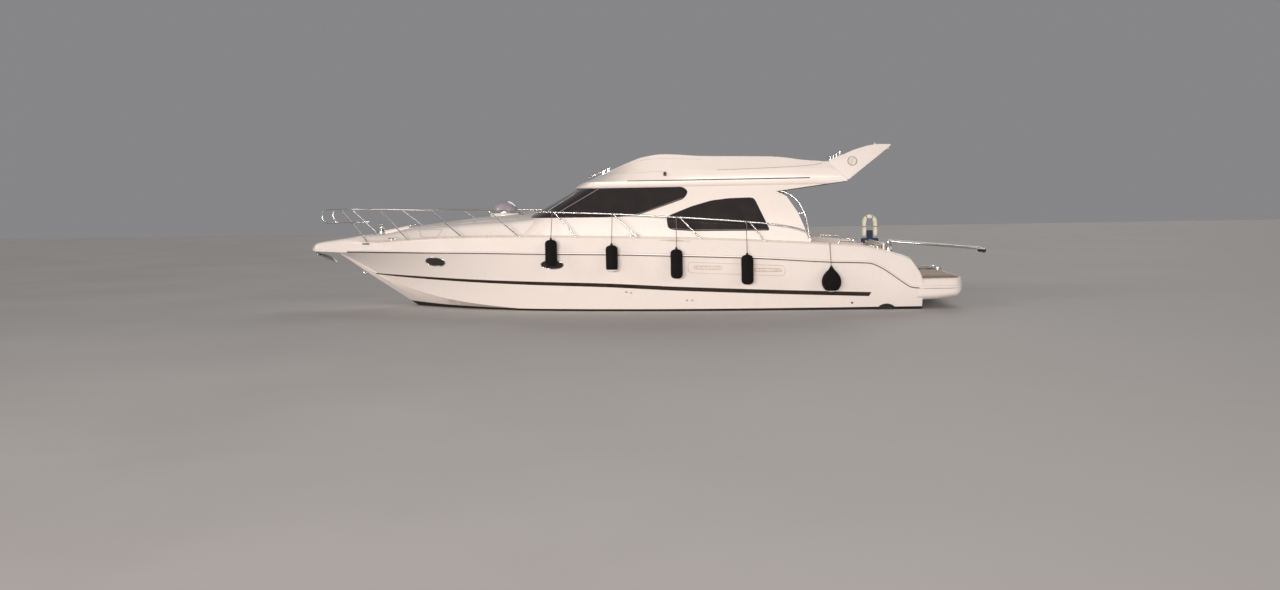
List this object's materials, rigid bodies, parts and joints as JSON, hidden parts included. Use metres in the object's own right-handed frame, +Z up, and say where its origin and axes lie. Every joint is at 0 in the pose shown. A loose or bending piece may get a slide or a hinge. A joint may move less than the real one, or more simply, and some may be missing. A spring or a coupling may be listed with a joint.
{
  "type": "flybridge motor yacht",
  "caption": "White flybridge motor yacht afloat, with dark wraparound glass, bow tongue with guard rail, swept radar arch, bathing platform, twin screws and black fenders over the side.",
  "frame": {"origin": "on the waterline, on the centreline, amidships", "axes": "+X towards the bow, +Y to port, +Z up"},
  "size_m": [13.6158, 4.5146, 4.1183],
  "materials": {
    "gelcoat": "polished warm-white gelcoat on glass-reinforced plastic",
    "tinted_glass": "dark tinted glass",
    "hatch_acrylic": "smoked acrylic",
    "stainless": "polished stainless steel",
    "rail_aluminium": "satin",
    "fender_rubber": "matt black",
    "teak": "oiled planks with dark seams",
    "upholstery": "off-white upholstery",
    "dark_trim": "textured",
    "bronze": "dull bronze",
    "engine_paint": "semi-gloss",
    "buoy_cream": "cream foam skin"
  },
  "bodies": {
    "hull": {"hull": "gelcoat", "deck": "gelcoat", "deckhouse": "gelcoat", "windscreen": "tinted_glass", "front_side_glass_port": "tinted_glass", "front_side_glass_starboard": "tinted_glass", "saloon_glass_port": "tinted_glass", "saloon_glass_starboard": "tinted_glass", "aft_bulkhead": "gelcoat", "sole": "teak", "engine_port": "engine_paint", "engine_starboard": "engine_paint", "saloon_sofa": "upholstery", "galley": "teak", "lower_helm": "dark_trim", "flybridge": "gelcoat", "radar_arch": "gelcoat", "fly_console": "gelcoat", "fly_helm_seat": "upholstery", "fly_settee": "upholstery", "fly_ladder": "stainless", "fly_aft_rail": "stainless", "cockpit_bench": "upholstery", "guard_rail_port": "stainless", "guard_rail_starboard": "stainless", "windlass": "stainless", "bow_roller": "stainless", "anchor": "stainless", "platform_teak": "teak", "passerelle_base": "stainless", "lifebuoy": "buoy_cream", "fender_port_1": "fender_rubber", "fender_port_2": "fender_rubber", "fender_port_3": "fender_rubber", "fender_port_4": "fender_rubber", "fender_port_5": "fender_rubber", "fender_starboard_1": "fender_rubber", "fender_starboard_2": "fender_rubber", "fender_starboard_3": "fender_rubber", "fender_starboard_4": "fender_rubber", "fender_starboard_5": "fender_rubber"},
    "propeller_port": {"propeller_port": "bronze"},
    "propeller_starboard": {"propeller_starboard": "bronze"},
    "rudder_port": {"rudder_port": "bronze"},
    "rudder_starboard": {"rudder_starboard": "bronze"},
    "lower_wheel": {"lower_wheel": "dark_trim"},
    "fly_wheel": {"fly_wheel": "dark_trim"},
    "saloon_door": {"saloon_door": "tinted_glass"},
    "engine_hatch": {"engine_hatch": "teak"},
    "transom_gate": {"transom_gate": "gelcoat"},
    "anchor_locker_lid": {"anchor_locker_lid": "gelcoat"},
    "skylight_hatch": {"skylight_hatch": "hatch_acrylic"},
    "swim_ladder": {"swim_ladder": "stainless"},
    "passerelle": {"passerelle": "rail_aluminium"},
    "trim_tab_port": {"trim_tab_port": "stainless"},
    "trim_tab_starboard": {"trim_tab_starboard": "stainless"},
    "windlass_drum": {"windlass_drum": "stainless"}
  },
  "joints": [
    {"name": "propeller_port_spin", "type": "hinge", "parent": "hull", "child": "propeller_port", "pos_m": [-4.85, 0.62, -0.78], "axis": [-0.9833, 0, -0.1822], "continuous": true},
    {"name": "propeller_starboard_spin", "type": "hinge", "parent": "hull", "child": "propeller_starboard", "pos_m": [-4.85, -0.62, -0.78], "axis": [-0.9833, 0, -0.1822], "continuous": true},
    {"name": "rudder_port_turn", "type": "hinge", "parent": "hull", "child": "rudder_port", "pos_m": [-5.29, 0.62, -0.5], "axis": [0, 0, 1], "range_deg": [-35, 35]},
    {"name": "rudder_starboard_turn", "type": "hinge", "parent": "hull", "child": "rudder_starboard", "pos_m": [-5.29, -0.62, -0.5], "axis": [0, 0, 1], "range_deg": [-35, 35]},
    {"name": "lower_wheel_turn", "type": "hinge", "parent": "hull", "child": "lower_wheel", "pos_m": [0.69, -0.9, 1.6], "axis": [-0.866, 0, 0.5], "range_deg": [-420, 420]},
    {"name": "fly_wheel_turn", "type": "hinge", "parent": "hull", "child": "fly_wheel", "pos_m": [-1.7, -0.65, 2.795], "axis": [-0.866, 0, 0.5], "range_deg": [-420, 420]},
    {"name": "saloon_door_slide", "type": "slide", "parent": "hull", "child": "saloon_door", "axis": [0, 1, 0], "range_m": [0, 0.8]},
    {"name": "engine_hatch_hinge", "type": "hinge", "parent": "hull", "child": "engine_hatch", "pos_m": [-3.355, 0, 0.6], "axis": [0, 1, 0], "range_deg": [0, 75]},
    {"name": "transom_gate_hinge", "type": "hinge", "parent": "hull", "child": "transom_gate", "pos_m": [-5.25, -1.128, 0.81], "axis": [0, 0, -1], "range_deg": [0, 90]},
    {"name": "anchor_locker_hinge", "type": "hinge", "parent": "hull", "child": "anchor_locker_lid", "pos_m": [4.4089, 0, 1.6693], "axis": [0, -1, 0], "range_deg": [0, 85]},
    {"name": "skylight_hinge", "type": "hinge", "parent": "hull", "child": "skylight_hatch", "pos_m": [2.73, 0, 1.89], "axis": [0, 1, 0], "range_deg": [0, 70]},
    {"name": "swim_ladder_hinge", "type": "hinge", "parent": "hull", "child": "swim_ladder", "pos_m": [-6.515, -0.85, 0.6], "axis": [0, -1, 0], "range_deg": [0, 250]},
    {"name": "passerelle_hinge", "type": "hinge", "parent": "hull", "child": "passerelle", "pos_m": [-5.27, 0.64, 1.2], "axis": [0, 1, 0], "range_deg": [0, 75]},
    {"name": "trim_tab_port_hinge", "type": "hinge", "parent": "hull", "child": "trim_tab_port", "pos_m": [-5.6903, 1.19, -0.224], "axis": [0, -0.9759, -0.2181], "range_deg": [0, 15]},
    {"name": "trim_tab_starboard_hinge", "type": "hinge", "parent": "hull", "child": "trim_tab_starboard", "pos_m": [-5.6903, -1.19, -0.224], "axis": [0, -0.9759, 0.2181], "range_deg": [0, 15]},
    {"name": "windlass_drum_spin", "type": "hinge", "parent": "hull", "child": "windlass_drum", "pos_m": [5.08, 0, 1.65], "axis": [0, 0, 1], "continuous": true}
  ],
  "couplings": [
    {"joint": "rudder_starboard_turn", "follows": "rudder_port_turn", "ratio": 1},
    {"joint": "lower_wheel_turn", "follows": "rudder_port_turn", "ratio": -12},
    {"joint": "fly_wheel_turn", "follows": "rudder_port_turn", "ratio": -12}
  ]
}
